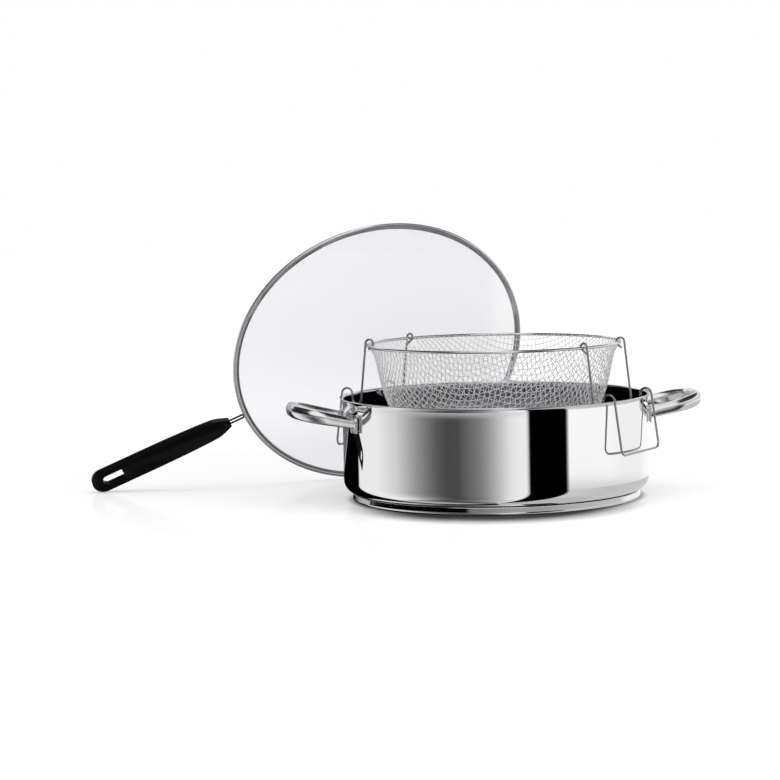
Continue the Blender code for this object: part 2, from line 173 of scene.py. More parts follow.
# %% Raise a wall from a circle
def raise_rings(profile, closed=False):
    """A turned shape about Z: the profile is a list of (radius, height)."""
    start_clean()
    rings = [point for point in profile if point[0] > weld]
    radius, height = rings[0]
    bpy.ops.mesh.primitive_circle_add(vertices=turn_steps, radius=radius,
                                      location=(0, 0, height), fill_type="NOTHING")
    piece = bpy.context.object
    settle(piece)
    bpy.ops.object.mode_set(mode="EDIT")
    bpy.ops.mesh.select_all(action="SELECT")
    if profile[0][0] <= weld:
        bpy.ops.mesh.edge_face_add()
        bpy.ops.mesh.select_all(action="SELECT")
    for new_radius, new_height in rings[1:] + ([rings[0]] if closed else []):
        bpy.ops.mesh.extrude_edges_move(
            TRANSFORM_OT_translate={"value": (0, 0, new_height - height)})
        growth = new_radius / radius
        bpy.ops.transform.resize(value=(growth, growth, 1), center_override=(0, 0, new_height))
        radius, height = new_radius, new_height
    if profile[-1][0] <= weld:
        bpy.ops.mesh.edge_face_add()
    bpy.ops.object.mode_set(mode="OBJECT")
    face_outwards(piece)
    return piece


# %% The pot body
cap_height = 0.0062
underside = cap_height + gap
inner_radius = wall_radius - wall
knee = (wall_radius - corner_radius, underside + corner_radius)
flare = rim_radius - wall_radius + neck
bead = (rim_radius - lip_edge / 2, pot_height - lip_edge / 2)


def flare_out(radius, top):
    """The wall draws in by a hair's breadth under its rim and then turns out to the lip."""
    rise = neck_run - lip_run - wall
    shares = [i / neck_steps for i in range(neck_steps + 1)]
    chain = [(radius - neck * share ** 2, top - lip_run - rise * (1 - share))
             for share in shares]
    chain += [(radius - neck + flare * share ** 2, top - lip_run * (1 - share))
              for share in lip_shares]
    return chain


pot_profile = [(0.0, underside + wall)]
pot_profile += arc(knee, corner_radius - wall, -pi / 2, 0.0, corner_steps_inside)
pot_profile += flare_out(inner_radius, pot_height)
pot_profile += arc(bead, lip_edge / 2, lip_from, lip_to, lip_steps)
pot_profile += flare_out(wall_radius, pot_height - wall)[::-1]
pot_profile += [(wall_radius, pot_height - neck_run - lip_drop), (wall_radius, knee[1] + wall)]
pot_profile += arc(knee, corner_radius, 0.0, -pi / 2, corner_steps_outside)
pot_profile += [(0.0, underside)]

pot = raise_rings(pot_profile)
finish_piece(pot, "pot_wall", "pot", ["pot_body"])

# %% [markdown]
# ## The base cap
# A thick aluminium disc spreads the heat. A shallow steel dish holds it against the pot's
# underside, and its edge makes the fine groove above the foot. The dish is raised in
# the same way. The core stays the CAD's own solid, because it is closed in.

# %% The base cap
cap_radius = 0.1295
cap_wall = 0.0006
cap_fillet = 0.0016
cap_taper = radians(8.0)
cap_side_shares = (0.08, 0.92)
cap_edge_steps = 6
cap_fillet_steps = 8

cap_top = cap_height - cap_wall / 2
cap_top_radius = cap_radius - (cap_top - cap_fillet) * tan(cap_taper)
cap_edge = (cap_top_radius - cap_wall / 2, cap_top)
cap_side = [(cap_top_radius, cap_top), (cap_radius, cap_fillet)]
cap_profile = [(0.0, cap_wall), (cap_top_radius - cap_wall, cap_wall)]
cap_profile += [(cap_top_radius - cap_wall, cap_top)]
cap_profile += arc(cap_edge, cap_wall / 2, pi, cap_taper, cap_edge_steps)
cap_profile += [tuple(a + (b - a) * share for a, b in zip(*cap_side))
                for share in cap_side_shares]
cap_profile += arc((cap_radius - cap_fillet, cap_fillet), cap_fillet, 0.0, -pi / 2,
                   cap_fillet_steps)
cap_profile += [(0.0, 0.0)]
cap = raise_rings(cap_profile)
finish_piece(cap, "base_dish", "pot", ["base_cap"])

# %% [markdown]
# ## Bars and wires
# Handles, hangers, the screen's tang and the basket's mesh are all round stock that
# follows a path. A curve with a round bevel is the natural way: the path is points, and
# the bevel is the stock. The curve is then converted to a mesh, so that it can be
# squashed, joined or cut.


# %% A tube along one or more paths
def bend_stock(name, paths, radius, rounds, grow=None):
    """Round stock along paths of points. grow scales the radius at each point."""
    curve = bpy.data.curves.new(name, "CURVE")
    curve.dimensions = "3D"
    curve.bevel_depth = radius
    curve.bevel_resolution = rounds
    curve.use_fill_caps = True
    for path in paths:
        spline = curve.splines.new("POLY")
        spline.points.add(len(path) - 1)
        for i, (point, place) in enumerate(zip(spline.points, path)):
            point.co = (*place, 1.0)
            point.radius = grow[i] if grow else 1.0
    piece = bpy.data.objects.new(name, curve)
    bpy.context.scene.collection.objects.link(piece)
    pick(piece)
    bpy.ops.object.convert(target="MESH")
    piece = bpy.context.object
    face_outwards(piece)
    return piece


# %% [markdown]
# ## Loop handles
# Each handle is an oval bar, bent to a wide loop and welded to the wall by two small
# curved plates. The bar is thinner at the plates and rises a little outwards. It is bent
# from round stock, and its height is then stretched, which makes the section oval.

# %% The handle bars
handle_azimuth = radians(12.0)
arm_half_angle = radians(15.0)
handle_reach = 0.0470
handle_bend = 0.0270
handle_bend_steps = 20
lead_steps = 6
bar_half_thickness = 0.0042
bar_rounds = 8
bar_oval = 1.50
arm_share = 0.74
arm_height = 0.0735
handle_rise = radians(12.0)
foot_thickness = 0.0016
foot_radius = wall_radius + gap + foot_thickness


def bend_handle(side, azimuth):
    """Worked out from above: u goes away from the pot, and v along its wall."""
    half_span = wall_radius * sin(arm_half_angle)
    foot_u = wall_radius * cos(arm_half_angle)
    tip = wall_radius + handle_reach
    bend = (tip - handle_bend, half_span - handle_bend)
    start = sqrt(foot_radius ** 2 - half_span ** 2) - foot_thickness / 2
    lead = [start + (bend[0] - start) * i / lead_steps for i in range(lead_steps)]
    half = [(u, half_span) for u in lead]
    half += arc(bend, handle_bend, pi / 2, 0.0, handle_bend_steps)
    flat = half + [(u, -v) for u, v in reversed(half)]
    path = [(u, v, (arm_height + (u - foot_u) * tan(handle_rise)) / bar_oval) for u, v in flat]
    full = tip - foot_u - handle_bend / 2
    grow = [min(1.0, arm_share + (1 - arm_share) * max(0.0, u - foot_u) / full)
            for u, v in flat]
    bar = bend_stock("bar", [path], bar_half_thickness, bar_rounds, grow)
    bar.scale = (1.0, 1.0, bar_oval)
    bar.rotation_euler.z = azimuth
    finish_piece(bar, "handle_bar_" + side, "pot", ["handle_" + side])


handle_sides = {"left": handle_azimuth + pi, "right": handle_azimuth}
for side, azimuth in handle_sides.items():
    bend_handle(side, azimuth)

# %% [markdown]
# ## Feet of the handles
# A foot is a small plate that follows the wall. A cube is cut to the plate's size, its
# four corners are bevelled, and it is sliced so that it can follow the curve: each of
# its points is then moved onto the cylinder of the wall.

# %% The handle feet
foot_height = 0.0160
foot_width = 0.0130
foot_corner = 0.0030
foot_corner_steps = 6
foot_slices = 6


def press_foot(name, azimuth, node):
    start_clean()
    bpy.ops.mesh.primitive_cube_add(size=1.0)
    foot = bpy.context.object
    foot.scale = (foot_thickness, foot_width, foot_height)
    settle(foot)
    bpy.ops.object.mode_set(mode="EDIT")
    mesh = bmesh.from_edit_mesh(foot.data)
    for edge in mesh.edges:
        ends = [v.co for v in edge.verts]
        edge.select_set(abs(ends[0].x - ends[1].x) > foot_thickness / 2)
    mesh.select_flush_mode()
    bmesh.update_edit_mesh(foot.data)
    bpy.ops.mesh.bevel(offset=foot_corner, segments=foot_corner_steps, affect="EDGES")
    bpy.ops.object.mode_set(mode="OBJECT")
    rounding = foot.modifiers.new("rounding", "BEVEL")
    rounding.width = foot_thickness / 4
    rounding.segments = 2
    apply_modifiers(foot)
    bpy.ops.object.mode_set(mode="EDIT")
    for i in range(1, foot_slices):
        bpy.ops.mesh.select_all(action="SELECT")
        bpy.ops.mesh.bisect(plane_co=(0, foot_width * (i / foot_slices - 0.5), 0),
                            plane_no=(0, 1, 0))
    bpy.ops.object.mode_set(mode="OBJECT")
    middle = foot_radius - foot_thickness / 2
    for vertex in foot.data.vertices:
        x, y, z = vertex.co
        turn = y / middle + azimuth
        vertex.co = ((middle + x) * cos(turn), (middle + x) * sin(turn), z + arm_height)
    finish_piece(foot, name, "pot", [node])


for side, azimuth in handle_sides.items():
    front = 1 if side == "left" else -1
    for end, sign in (("front", front), ("back", -front)):
        node = "handle_%s_foot_%s" % (side, end)
        press_foot("foot_plate_%s_%s" % (side, end), azimuth + sign * arm_half_angle, node)

# %% [markdown]
# ## The basket's rim wire
# A closed ring of round wire stiffens the basket's mouth. A torus is already that shape.

# %% The rim wire
basket_rim_radius = 0.1135
basket_rim_height = 0.1386
basket_rim_wire = 0.0026
rim_wire_sides = 20

start_clean()
bpy.ops.mesh.primitive_torus_add(major_radius=basket_rim_radius,
                                 minor_radius=basket_rim_wire / 2,
                                 major_segments=turn_steps, minor_segments=rim_wire_sides,
                                 location=(0, 0, basket_rim_height))
finish_piece(bpy.context.object, "basket_rim", "basket", ["basket_rim_wire"])

# %% [markdown]
# ## The basket's mesh
# The real basket starts as flat woven mesh, which is pressed into a cup. So the wires
# stay square on the floor, run straight up the wall on four sides, and cross it at a
# slant between them. The same is done here: two sets of straight wires are laid out flat,
# each point is carried to the place on the cup that lies as far from the middle, and the
# wires go over and under each other in turn.

# %% Form of the cup
basket_depth = 0.0845
basket_floor_radius = 0.0700
basket_corner = 0.0210
basket_corner_end = radians(-15)
basket_corner_steps = 8
basket_waist = (0.0995, basket_rim_height - 0.0470)
basket_shoulder = (0.1080, basket_rim_height - 0.0090)
mesh_wire = 0.0006
mesh_cell = 0.0056
mesh_turn = radians(-15.0)
mesh_inset = 0.0008
corner_cuts = 3


def smooth_chain(points, rounds):
    """Cut the corners of a chain again and again, which rounds it."""
    for _ in range(rounds):
        cut = [points[0]]
        for (x0, z0), (x1, z1) in zip(points, points[1:]):
            cut += [(x0 * 0.75 + x1 * 0.25, z0 * 0.75 + z1 * 0.25),
                    (x0 * 0.25 + x1 * 0.75, z0 * 0.25 + z1 * 0.75)]
        points = cut + [points[-1]]
    return points


floor_height = basket_rim_height - basket_depth + mesh_inset
cup_top = (basket_rim_radius - basket_rim_wire / 2 - mesh_wire / 2,
           basket_rim_height + mesh_wire / 2)
cup_chain = [(0.0, floor_height), (basket_floor_radius / 2, floor_height)]
cup_chain += arc((basket_floor_radius, floor_height + basket_corner), basket_corner - mesh_inset,
                 -pi / 2, basket_corner_end, basket_corner_steps)
cup_chain += [(basket_waist[0] - mesh_inset, basket_waist[1]),
              ((basket_waist[0] + basket_shoulder[0]) / 2 - mesh_inset / 4,
               (basket_waist[1] + basket_shoulder[1]) / 2),
              (basket_shoulder[0] - mesh_inset, basket_shoulder[1]),
              (cup_top[0], cup_top[1] - basket_rim_wire), cup_top]
cup_chain = smooth_chain(cup_chain, corner_cuts)
cup_run = [0.0]
for (x0, z0), (x1, z1) in zip(cup_chain, cup_chain[1:]):
    cup_run.append(cup_run[-1] + hypot(x1 - x0, z1 - z0))
flat_radius = cup_run[-1]
print("The flat mesh is", round(2000 * flat_radius), "mm across")


# %% Carry a flat point to the cup
def on_cup(u, v, lift):
    """The place of flat point (u, v), moved off the sheet by lift."""
    run = min(hypot(u, v), flat_radius - weld)
    azimuth = atan2(v, u) + mesh_turn
    i = max(k for k in range(len(cup_run) - 1) if cup_run[k] <= run)
    share = (run - cup_run[i]) / (cup_run[i + 1] - cup_run[i])
    (x0, z0), (x1, z1) = cup_chain[i], cup_chain[i + 1]
    slope = atan2(z1 - z0, x1 - x0)
    r = x0 + (x1 - x0) * share + sin(slope) * lift
    z = z0 + (z1 - z0) * share - cos(slope) * lift
    return Vector((r * cos(azimuth), r * sin(azimuth), z))


# %% [markdown]
# The mesh is open under the rim where the hangers' eyes pass, so the wires stop there.

# %% The openings in the mesh
hanger_half_width = 0.0380
hanger_wire = 0.0020
eye_radius = 0.0033
eye_pitch = 0.0026
tail_length = 0.0052
eye_axis_height = basket_rim_height + 0.0007
hanger_azimuths = {"right": radians(-27.0), "left": radians(153.0)}
window_half_width = eye_pitch / 2 + hanger_wire / 2 + mesh_wire
window_drop = eye_radius + hanger_wire / 2 + tail_length / 2 + mesh_wire / 2


def in_window(place):
    """True where a hanger's eye passes through the mesh."""
    for azimuth in hanger_azimuths.values():
        along = -place.x * sin(azimuth) + place.y * cos(azimuth)
        out = place.x * cos(azimuth) + place.y * sin(azimuth)
        beside = abs(abs(along) - hanger_half_width)
        if out > 0 and beside < window_half_width and place.z > eye_axis_height - window_drop:
            return True
    return False


# %% Weave the mesh
shortest_step = mesh_cell / 8
mesh_wire_rounds = 1


def weave(across):
    """Paths of all the wires that run along u, or along v if across is true."""
    paths = []
    count = int(flat_radius / mesh_cell)
    for i in range(-count, count + 1):
        offset = i * mesh_cell
        reach = sqrt(max(flat_radius ** 2 - offset ** 2, 0.0))
        halves = int(2 * reach / mesh_cell)
        stations = [k * mesh_cell / 2 for k in range(-halves, halves + 1)]
        path = []
        for station in [-reach] + stations + [reach]:
            wave = cos(pi * (station / mesh_cell + i + (1 if across else 0)))
            u, v = (offset, station) if across else (station, offset)
            place = on_cup(u, v, wave * mesh_wire / 2)
            if in_window(place):
                if len(path) > 1:
                    paths.append(path)
                path = []
            elif not path or (place - path[-1]).length > shortest_step:
                path.append(place)
        if len(path) > 1:
            paths.append(path)
    return paths


warp = bend_stock("warp", weave(False), mesh_wire / 2, mesh_wire_rounds)
finish_piece(warp, "basket_warp", "basket", ["basket_mesh"], mesh_crease)
weft = bend_stock("weft", weave(True), mesh_wire / 2, mesh_wire_rounds)
finish_piece(weft, "basket_weft", "basket", crease=mesh_crease)

# %% [markdown]
# ## The hangers
# Each hanger is one wire. It makes an eye round the rim wire, runs down inside the pot,
# turns up, hooks over the pot's lip, runs down outside and crosses to the other half,
# which is the same again. Half of it is worked out in the hinge's own frame, mirrored,
# bent in one piece and turned to its side of the basket.

# %% Path of a hanger
hinge_reach = sqrt(basket_rim_radius ** 2 - hanger_half_width ** 2)
eye_end_angle = radians(230.0)
eye_steps = 30
u_bend_radius = 0.0045
u_bend_depth = 0.0090
u_bend_steps = 16
hook_radius = 0.0054
hook_flare = radians(8.0)
hook_steps = 20
crossbar_drop = 0.0470
crossbar_corner = 0.0060
crossbar_corner_steps = 12


def hanger_half():
    """X points outwards from the hinge, Y along it and Z up."""
    reach = rim_radius + gap + hanger_wire / 2
    hook_x = sqrt(reach ** 2 - hanger_half_width ** 2) - hinge_reach - hook_radius / cos(hook_flare)
    lip_z = pot_height - eye_axis_height
    bend = (hook_x - hook_radius - u_bend_radius, lip_z - u_bend_depth + u_bend_radius)
    lean = atan2(bend[1], bend[0]) + acos((eye_radius + u_bend_radius) / hypot(*bend))
    loop = arc((0.0, 0.0), eye_radius, eye_end_angle, lean, eye_steps)
    end = loop[0]
    tail = (end[0] - sin(eye_end_angle) * tail_length, end[1] + cos(eye_end_angle) * tail_length)
    shares = [0.0] + [i / eye_steps for i in range(eye_steps + 1)]
    path = [(x, hanger_half_width - eye_pitch * (0.5 - share), z)
            for (x, z), share in zip([tail] + loop, shares)]
    leg_y = path[-1][1]
    hook = arc(bend, u_bend_radius, pi + lean, 2 * pi, u_bend_steps)
    hook += arc((hook_x, lip_z), hook_radius, pi, hook_flare, hook_steps)
    path += [(x, leg_y, z) for x, z in hook]
    run = Vector((sin(hook_flare), 0.0, -cos(hook_flare)))
    top = Vector(path[-1])
    corner = top + run * ((top.z - (lip_z - crossbar_drop)) / cos(hook_flare))
    side = Vector((0.0, -1.0, 0.0))
    for i in range(crossbar_corner_steps + 1):
        a = pi / 2 * i / crossbar_corner_steps
        path.append(tuple(corner + crossbar_corner * (side * (1 - cos(a)) - run * (1 - sin(a)))))
    return path


# %% The two hangers
wire_rounds = 4
half = hanger_half()
whole = half + [(x, -y, z) for x, y, z in reversed(half)]
for side, azimuth in hanger_azimuths.items():
    hanger = bend_stock("hanger", [whole], hanger_wire / 2, wire_rounds)
    hanger.location = (hinge_reach * cos(azimuth), hinge_reach * sin(azimuth), eye_axis_height)
    hanger.rotation_euler.z = azimuth
    finish_piece(hanger, "hanger_wire_" + side, "hanger_" + side,
                 ["hanger_" + side], wire_crease)

# %% [markdown]
# ## The splatter screen
# The screen leans forward over the pot: its ring stands on the table and its cloth rests
# on the pot's rear rim. Each piece is made lying flat about the origin, and one matrix,
# built from the screen's turn, its lean and where it stands, then carries it to its place.

# %% Place of the screen
screen_radius = 0.1386
screen_turn = radians(18.0)
screen_lean = radians(27.5)
screen_foot_x = -0.1280
ring_thickness = 0.0034
cloth_thickness = 0.0003

normal = Vector((sin(screen_turn) * cos(screen_lean), -cos(screen_turn) * cos(screen_lean),
                 -sin(screen_lean)))
table_line = Vector((cos(screen_turn), sin(screen_turn), 0.0))
slope_up = normal.cross(table_line)
seat = cloth_thickness / 2 + gap
foot_y = (sin(screen_turn) * screen_foot_x + rim_radius + tan(screen_lean) * pot_height
          + seat / cos(screen_lean)) / cos(screen_turn)
center = Vector((screen_foot_x, foot_y, 0.0)) + slope_up * (
    screen_radius + ring_thickness / 2 * tan(screen_lean))
screen_place = Matrix((table_line, slope_up, normal)).transposed().to_4x4()
screen_place.translation = center
print("The screen's middle is", round(center.z * 1000), "mm above the table")

# %% [markdown]
# ### Ring and cloth
# The ring is a strip of steel that is rolled round the cloth's edge, so its section is a
# rounded U. Its outline is raised ring by ring like the pot, and closed on itself. The
# cloth is a thin disc: its weave is finer than anything that could be modelled wire by
# wire, so it goes into the material.

# %% The screen's ring and cloth
ring_width = 0.0056
ring_groove_depth = 0.0036
flange_height = 0.0011
flange_round = 0.0004
flange_steps = 4
bead_overlap = 0.8
bead_steps = 24

half_ring = ring_thickness / 2
ring_middle = screen_radius - half_ring
ring_inner = screen_radius - ring_width
flange_edge = ring_inner + flange_round
bead_start = pi - asin(flange_height / half_ring * bead_overlap)
ring_profile = [(ring_inner, seat)]
ring_profile += arc((flange_edge, flange_height - flange_round), flange_round, pi, pi / 2,
                    flange_steps)
ring_profile += arc((ring_middle, 0.0), half_ring, bead_start, -bead_start, bead_steps)
ring_profile += arc((flange_edge, flange_round - flange_height), flange_round, -pi / 2, -pi,
                    flange_steps)
ring_profile += [(ring_inner, -seat), (ring_inner + ring_groove_depth, -seat),
                 (ring_inner + ring_groove_depth, seat)]
ring = raise_rings(ring_profile, closed=True)
ring.matrix_world = screen_place
finish_piece(ring, "screen_hoop", "splatter_screen", ["screen_ring"])

cloth_radius = ring_inner + ring_groove_depth - gap
cloth = raise_rings([(0.0, cloth_thickness / 2), (cloth_radius, cloth_thickness / 2),
                     (cloth_radius, -cloth_thickness / 2), (0.0, -cloth_thickness / 2)])
cloth.matrix_world = screen_place
finish_piece(cloth, "screen_gauze", "splatter_screen", ["screen_cloth"])

# %% [markdown]
# ### Tang and grip
# The tang is one dark wire bent to a narrow U. Its middle is welded to the ring, and its
# two ends go into the grip.

# %% The tang
tang_angle = radians(26.7)
tang_wire = 0.0018
tang_pitch = 0.0034
tang_show = 0.0140
tang_tuck = 0.0200
tang_bend = 0.0016
tang_bend_steps = 10
grip_place = screen_place @ Matrix.Rotation(pi + tang_angle, 4, "Z") @ Matrix.Translation(
    (screen_radius, 0.0, 0.0))

tang_side = arc((tang_bend, tang_pitch / 2 - tang_bend), tang_bend, pi, pi / 2, tang_bend_steps)
tang_side += [(tang_show + tang_tuck, tang_pitch / 2)]
tang_path = [(x, -y, 0.0) for x, y in reversed(tang_side)] + [(x, y, 0.0) for x, y in tang_side]
tang = bend_stock("tang", [tang_path], tang_wire / 2, wire_rounds)
tang.matrix_world = grip_place
finish_piece(tang, "tang_wire", "splatter_screen", ["screen_tang"], wire_crease)

# %% [markdown]
# The grip is a flat moulding with a waist at the tang, a belly and a round end. Its
# outline is a row of points along one side, mirrored, and rounded by cutting the corners.
# It is filled, given its thickness, and its edges are bevelled. The hanging slot is cut
# by a Boolean, before the bevel, so that the slot's edge is rounded too.

# %% Outline of the grip
grip_length = 0.1410
grip_half_width = 0.0114
grip_neck_half_width = 0.0035
grip_thickness = 0.0060
grip_length_shares = (0.085, 0.14, 0.28, 0.50, 0.75)
grip_swell_shares = (0.68, 0.80, 0.92, 1.0, 1.0)
tip_steps = 16


def outline_piece(name, points, depth):
    """A plate of the given outline, its thickness centred on Z = 0."""
    mesh = bpy.data.meshes.new(name)
    mesh.from_pydata([(x, y, -depth / 2) for x, y in points], [], [tuple(range(len(points)))])
    piece = bpy.data.objects.new(name, mesh)
    bpy.context.scene.collection.objects.link(piece)
    pick(piece)
    bpy.ops.object.mode_set(mode="EDIT")
    bpy.ops.mesh.select_all(action="SELECT")
    bpy.ops.mesh.extrude_region_move(TRANSFORM_OT_translate={"value": (0, 0, depth)})
    bpy.ops.object.mode_set(mode="OBJECT")
    face_outwards(piece)
    return piece


grip_end = tang_show + grip_length
belly = grip_half_width - grip_neck_half_width
grip_side = [(tang_show, grip_neck_half_width)]
grip_side += [(tang_show + grip_length * share, grip_neck_half_width + belly * swell)
              for share, swell in zip(grip_length_shares, grip_swell_shares)]
grip_side = smooth_chain(grip_side, corner_cuts)
tip_radius = grip_side[-1][1]
grip_side += arc((grip_end - tip_radius, 0.0), tip_radius, pi / 2, 0.0, tip_steps)
grip_outline = grip_side + [(x, -y) for x, y in reversed(grip_side[:-1])]
grip = outline_piece("grip", grip_outline, grip_thickness)

# %% The slot and the rounded edge
slot_length = 0.0205
slot_width = 0.0096
slot_margin = 0.0105
slot_corner_steps = 4
grip_edge = 0.0018
grip_edge_steps = 4
grip_edge_angle = radians(60)

slot_half = slot_width / 2
slot_outer = grip_end - slot_margin - slot_half
slot_inner = grip_end - slot_margin - slot_length
slot_corner = slot_half / 5
slot_outline = arc((slot_outer, 0.0), slot_half, -pi / 2, pi / 2, tip_steps)
slot_outline += arc((slot_inner + slot_corner, slot_half - slot_corner), slot_corner,
                    pi / 2, pi, slot_corner_steps)
slot_outline += arc((slot_inner + slot_corner, slot_corner - slot_half), slot_corner,
                    -pi, -pi / 2, slot_corner_steps)
slot_tool = outline_piece("slot_tool", slot_outline, 2 * grip_thickness)
slot_cut = grip.modifiers.new("slot", "BOOLEAN")
slot_cut.object = slot_tool
slot_cut.solver = "EXACT"
edge = grip.modifiers.new("edge", "BEVEL")
edge.width = grip_edge
edge.segments = grip_edge_steps
edge.limit_method = "ANGLE"
edge.angle_limit = grip_edge_angle
apply_modifiers(grip)
bpy.data.objects.remove(slot_tool)
grip.matrix_world = grip_place
finish_piece(grip, "grip_moulding", "splatter_screen", ["screen_grip"],
             grip_crease)

# %% [markdown]
# ## Finishes
# Polished steel is a metal with very little roughness. Real polish still has fine
# scratches and slow waves from pressing, which break up the reflections. They are one
# effect that every metal here uses, so they go in a node group with its own inputs.


# %% A node group for worked metal
def build_worked_metal():
    group = bpy.data.node_groups.new("worked_metal", "ShaderNodeTree")
    for label, kind in (("Base", "NodeSocketColor"), ("Stain", "NodeSocketColor"),
                        ("Scratch scale", "NodeSocketFloat"), ("Wave scale", "NodeSocketFloat"),
                        ("Polish", "NodeSocketFloat"), ("Haze", "NodeSocketFloat")):
        group.interface.new_socket(label, in_out="INPUT", socket_type=kind)
    for label, kind in (("Color", "NodeSocketColor"), ("Roughness", "NodeSocketFloat"),
                        ("Height", "NodeSocketFloat")):
        group.interface.new_socket(label, in_out="OUTPUT", socket_type=kind)
    nodes, links = group.nodes, group.links
    inputs = nodes.new("NodeGroupInput")
    outputs = nodes.new("NodeGroupOutput")
    place = nodes.new("ShaderNodeTexCoord")
    scratch = nodes.new("ShaderNodeTexNoise")
    scratch.inputs["Detail"].default_value = 6.0
    wave = nodes.new("ShaderNodeTexNoise")
    wave.inputs["Detail"].default_value = 1.0
    links.new(place.outputs["Object"], scratch.inputs["Vector"])
    links.new(place.outputs["Object"], wave.inputs["Vector"])
    links.new(inputs.outputs["Scratch scale"], scratch.inputs["Scale"])
    links.new(inputs.outputs["Wave scale"], wave.inputs["Scale"])
    tint = nodes.new("ShaderNodeMix")
    tint.data_type = "RGBA"
    links.new(scratch.outputs["Fac"], tint.inputs["Factor"])
    links.new(inputs.outputs["Base"], tint.inputs["A"])
    links.new(inputs.outputs["Stain"], tint.inputs["B"])
    links.new(tint.outputs["Result"], outputs.inputs["Color"])
    rough = nodes.new("ShaderNodeMath")
    rough.operation = "MULTIPLY_ADD"
    links.new(scratch.outputs["Fac"], rough.inputs[0])
    links.new(inputs.outputs["Haze"], rough.inputs[1])
    links.new(inputs.outputs["Polish"], rough.inputs[2])
    links.new(rough.outputs["Value"], outputs.inputs["Roughness"])
    links.new(wave.outputs["Fac"], outputs.inputs["Height"])
    return group


worked_metal = build_worked_metal()

# %% [markdown]
# Each metal then sets its own colour, scratch size and polish. The pot's inside is a little
# rougher than its outside, and its steel is painted darker as shade inside the pot, so its
# inner faces get a second finish.

# %% Metal finishes
wave_height = 0.0005


def start_material(name):
    """A new material, its nodes, its links and its shader."""
    material = bpy.data.materials.new(name)
    material.use_nodes = True
    tree = material.node_tree
    return material, tree.nodes, tree.links, tree.nodes["Principled BSDF"]


def make_metal(name, base, stain, scratch, wave, polish, haze, bump, metallic=1.0):
    """base and stain are colours, scratch and wave are scales, and the rest are shares."""
    material, nodes, links, shader = start_material(name)
    shader.inputs["Metallic"].default_value = metallic
    effect = nodes.new("ShaderNodeGroup")
    effect.node_tree = worked_metal
    for label, value in (("Base", (*base, 1.0)), ("Stain", (*stain, 1.0)),
                         ("Scratch scale", scratch), ("Wave scale", wave),
                         ("Polish", polish), ("Haze", haze)):
        effect.inputs[label].default_value = value
    relief = nodes.new("ShaderNodeBump")
    relief.inputs["Strength"].default_value = bump
    relief.inputs["Distance"].default_value = wave_height
    links.new(effect.outputs["Color"], shader.inputs["Base Color"])
    links.new(effect.outputs["Roughness"], shader.inputs["Roughness"])
    links.new(effect.outputs["Height"], relief.inputs["Height"])
    links.new(relief.outputs["Normal"], shader.inputs["Normal"])
    return material


mirror_steel = make_metal("mirror_steel", (0.94, 0.94, 0.945), (0.91, 0.91, 0.92),
                          scratch=900, wave=9, polish=0.02, haze=0.03, bump=0.02)
satin_steel = make_metal("satin_steel", (0.93, 0.93, 0.94), (0.87, 0.87, 0.88),
                         scratch=900, wave=30, polish=0.17, haze=0.08, bump=0.03)
# Painted shade: a darker copy of the pot's steel, for the shade inside the pot.
shaded_inner_steel = make_metal("shaded_inner_steel", (0.52, 0.52, 0.53), (0.44, 0.44, 0.45),
                         scratch=900, wave=9, polish=0.05, haze=0.06, bump=0.03)
base_steel = make_metal("base_steel", (0.88, 0.88, 0.89), (0.80, 0.80, 0.81),
                        scratch=500, wave=30, polish=0.05, haze=0.05, bump=0.03)
rim_steel = make_metal("rim_steel", (0.92, 0.92, 0.93), (0.84, 0.84, 0.86),
                       scratch=700, wave=60, polish=0.06, haze=0.06, bump=0.03)
hanger_steel = make_metal("hanger_steel", (0.56, 0.56, 0.58), (0.44, 0.44, 0.46),
                          scratch=700, wave=60, polish=0.12, haze=0.10, bump=0.05)
woven_steel = make_metal("woven_steel", (0.95, 0.95, 0.96), (0.90, 0.90, 0.92),
                         scratch=900, wave=80, polish=0.20, haze=0.10, bump=0.03, metallic=0.25)
hoop_steel = make_metal("hoop_steel", (0.84, 0.84, 0.86), (0.74, 0.74, 0.77),
                        scratch=600, wave=30, polish=0.12, haze=0.08, bump=0.03, metallic=0.88)
cast_aluminium = make_metal("cast_aluminium", (0.80, 0.80, 0.81), (0.66, 0.66, 0.68),
                            scratch=500, wave=50, polish=0.35, haze=0.15, bump=0.1)
coated_wire = make_metal("coated_wire", (0.05, 0.05, 0.055), (0.02, 0.02, 0.02),
                         scratch=500, wave=60, polish=0.30, haze=0.15, bump=0.05)
print(len(bpy.data.materials), "materials so far, with the CAD's own")


# %% Dress the metal pieces
def dress(material, *names):
    for name in names:
        piece = bpy.data.objects[name]
        piece.data.materials.clear()
        piece.data.materials.append(material)


facing_up = 0.5
dress(mirror_steel, "pot_wall")
# The inner faces below the lip take the darker steel, which is painted shade.
pot.data.materials.append(shaded_inner_steel)
for face in pot.data.polygons:
    inward = face.normal.xy.dot(face.center.xy) < 0 or face.normal.z > facing_up
    face.material_index = 1 if inward and face.center.z < pot_height - lip_drop else 0
dress(base_steel, "base_dish")
for side in handle_sides:
    dress(satin_steel, "handle_bar_" + side, "foot_plate_%s_front" % side,
          "foot_plate_%s_back" % side)
    dress(hanger_steel, "hanger_wire_" + side)
dress(rim_steel, "basket_rim")
dress(woven_steel, "basket_warp", "basket_weft")
dress(hoop_steel, "screen_hoop")
dress(coated_wire, "tang_wire")
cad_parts["base_core"].data.materials.clear()
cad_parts["base_core"].data.materials.append(cast_aluminium)

# %% [markdown]
# ### The gauze
# The screen's cloth lets light through between its wires. Two wave patterns at right
# angles draw the wires, and they drive the alpha, so the cloth is partly see-through.

# %% The gauze
gauze_pitch = 0.0009
gauze_hole, gauze_strand = 0.03, 0.21
hole_color = (0.80, 0.81, 0.90, 1.0)
strand_color = (0.86, 0.87, 0.97, 1.0)
# A wave pattern repeats 20 times in 2 pi units at a scale of 1.
gauze_scale = 2 * pi / (20 * gauze_pitch)

